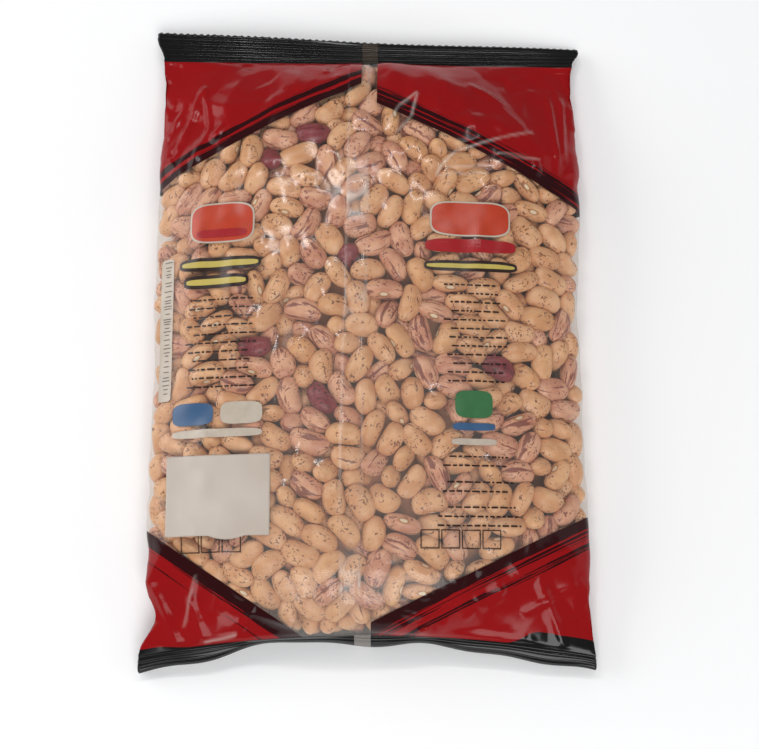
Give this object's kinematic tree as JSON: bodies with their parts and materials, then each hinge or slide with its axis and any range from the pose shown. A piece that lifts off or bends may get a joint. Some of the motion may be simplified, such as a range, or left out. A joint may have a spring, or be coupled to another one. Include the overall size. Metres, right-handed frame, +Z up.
{
  "type": "bag of dried beans",
  "caption": "Sealed clear film pillow bag filled with dried speckled beans, lying with its seamed back up, crimped at both ends.",
  "frame": {"origin": "centre of the bag's box, on the surface that it lies on", "axes": "+X across the bag, +Y along it towards the head seal, +Z up, out of the seamed back that the picture shows"},
  "size_m": [0.1852, 0.2779, 0.0397],
  "materials": {
    "clear_film": "clear polypropylene film drawn over speckled beans",
    "label_paper": "plain uncoated label paper",
    "printed_film": "red and black ink printed inside glossy film",
    "bean_coat": "smooth dry seed coat, speckled and striped"
  },
  "bodies": {
    "root": {"bean_bag": "clear_film", "paper_label": "label_paper"}
  },
  "joints": []
}
